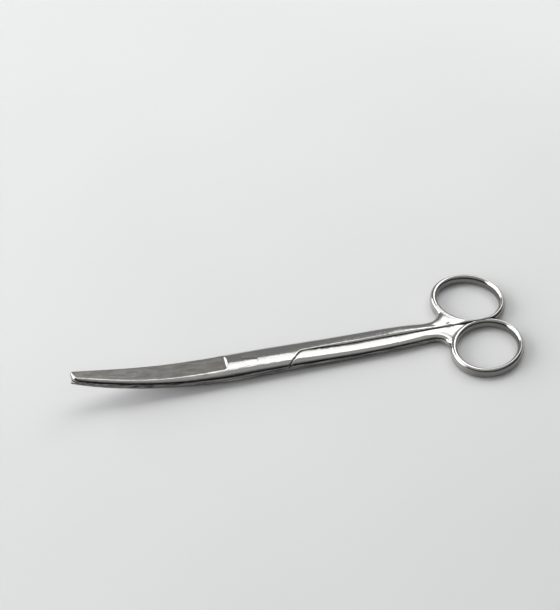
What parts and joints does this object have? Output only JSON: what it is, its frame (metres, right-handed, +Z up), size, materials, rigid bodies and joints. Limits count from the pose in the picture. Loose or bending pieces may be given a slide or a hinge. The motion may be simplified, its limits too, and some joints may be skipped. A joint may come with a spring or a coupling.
{
  "type": "suture scissors",
  "caption": "Closed surgical scissors with finger rings, slender shanks, a slotted screw lap joint and blunt blades that curve upwards, for cutting sutures and tissue.",
  "frame": {"origin": "on the pivot axis, at the underside that the closed scissors lie on", "axes": "+Z up along the pivot axis, +X along the shanks from the pivot towards the finger rings, +Y towards the ring of the upper half; the tips point towards -X and curve towards +Z"},
  "size_m": [0.1702, 0.0502, 0.0164],
  "materials": {
    "blade_steel": "stainless steel, satin ground blades and flanks with polished crowns and rings",
    "screw_steel": "turned stainless steel, ground flush with the joint"
  },
  "bodies": {
    "lower_scissor_half": {"lower_half": "blade_steel", "pivot_screw": "screw_steel"},
    "upper_scissor_half": {"upper_half": "blade_steel"}
  },
  "joints": [
    {"name": "scissor_pivot", "type": "hinge", "parent": "lower_scissor_half", "child": "upper_scissor_half", "pos_m": [0, 0, 0.003], "axis": [0, 0, 1], "range_deg": [0, 90]}
  ]
}
